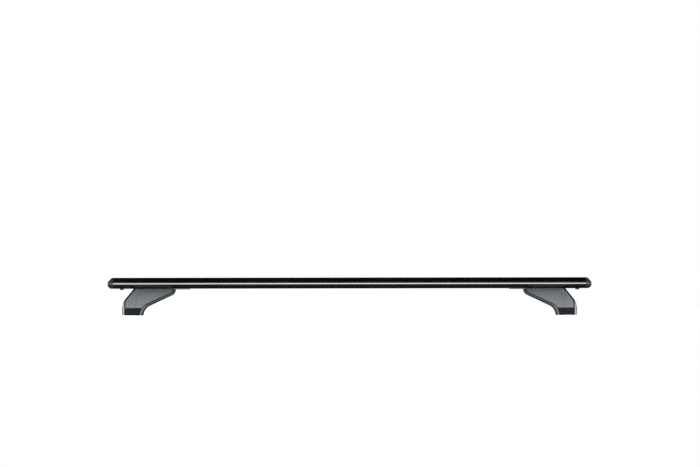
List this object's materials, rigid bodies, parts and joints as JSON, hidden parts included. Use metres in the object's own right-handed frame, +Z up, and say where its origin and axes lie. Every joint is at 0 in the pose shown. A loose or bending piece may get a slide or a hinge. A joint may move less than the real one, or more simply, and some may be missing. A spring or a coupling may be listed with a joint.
{
  "type": "roof rack crossbar",
  "caption": "Wing-section roof crossbar on moulded sliding feet, with hinged end covers, screw-driven clamp plates and ribbed infill strips.",
  "frame": {"origin": "on the ground plane under the middle of the bar, centred across the feet", "axes": "+X along the bar to the right end, +Y towards the bar's leading edge, +Z up from the roof"},
  "size_m": [1.28, 0.135, 0.1],
  "materials": {
    "bar_black": "satin black coating on extruded aluminium",
    "strip_rubber": "ribbed matte rubber",
    "cap_plastic": "fine-grained dark plastic",
    "foot_plastic": "grained grey plastic",
    "carriage_metal": "plain extruded",
    "steel": "zinc plated",
    "clip_black": "plain"
  },
  "bodies": {
    "bar": {"bar_profile": "bar_black", "top_strip": "strip_rubber", "bottom_strip": "strip_rubber", "left_end_cap": "cap_plastic", "right_end_cap": "cap_plastic"},
    "left_foot": {"left_foot_shell": "foot_plastic", "left_slot_carriage": "carriage_metal", "left_foot_bracket": "steel", "left_foot_bolts": "steel", "left_bolt_nuts": "steel", "left_screw_washer": "steel", "left_hinge_pin": "steel"},
    "left_cover": {"left_foot_cover": "foot_plastic"},
    "left_screw": {"left_clamp_screw": "steel", "left_screw_clip": "clip_black"},
    "left_plate": {"left_clamp_plate": "steel"},
    "right_foot": {"right_foot_shell": "foot_plastic", "right_slot_carriage": "carriage_metal", "right_foot_bracket": "steel", "right_foot_bolts": "steel", "right_bolt_nuts": "steel", "right_screw_washer": "steel", "right_hinge_pin": "steel"},
    "right_cover": {"right_foot_cover": "foot_plastic"},
    "right_screw": {"right_clamp_screw": "steel", "right_screw_clip": "clip_black"},
    "right_plate": {"right_clamp_plate": "steel"}
  },
  "joints": [
    {"name": "left_foot_slide", "type": "slide", "parent": "bar", "child": "left_foot", "axis": [-1, 0, 0], "range_m": [-0.03, 0.003]},
    {"name": "left_cover_hinge", "type": "hinge", "parent": "left_foot", "child": "left_cover", "pos_m": [-0.5726, 0, 0.0629], "axis": [0, 1, 0], "range_deg": [0, 45]},
    {"name": "left_clamp_screw_turn", "type": "hinge", "parent": "left_foot", "child": "left_screw", "pos_m": [-0.5474, 0, 0.0435], "axis": [-1, 0, 0], "range_deg": [0, 1800]},
    {"name": "left_clamp_plate_slide", "type": "slide", "parent": "left_foot", "child": "left_plate", "axis": [1, 0, 0], "range_m": [0, 0.006]},
    {"name": "right_foot_slide", "type": "slide", "parent": "bar", "child": "right_foot", "axis": [1, 0, 0], "range_m": [-0.03, 0.003]},
    {"name": "right_cover_hinge", "type": "hinge", "parent": "right_foot", "child": "right_cover", "pos_m": [0.5726, 0, 0.0629], "axis": [0, -1, 0], "range_deg": [0, 45]},
    {"name": "right_clamp_screw_turn", "type": "hinge", "parent": "right_foot", "child": "right_screw", "pos_m": [0.5474, 0, 0.0435], "axis": [1, 0, 0], "range_deg": [0, 1800]},
    {"name": "right_clamp_plate_slide", "type": "slide", "parent": "right_foot", "child": "right_plate", "axis": [-1, 0, 0], "range_m": [0, 0.006]}
  ],
  "couplings": [
    {"joint": "left_clamp_screw_turn", "follows": "left_clamp_plate_slide", "rad_per_m": 5026.6},
    {"joint": "right_clamp_screw_turn", "follows": "right_clamp_plate_slide", "rad_per_m": 5026.6}
  ]
}
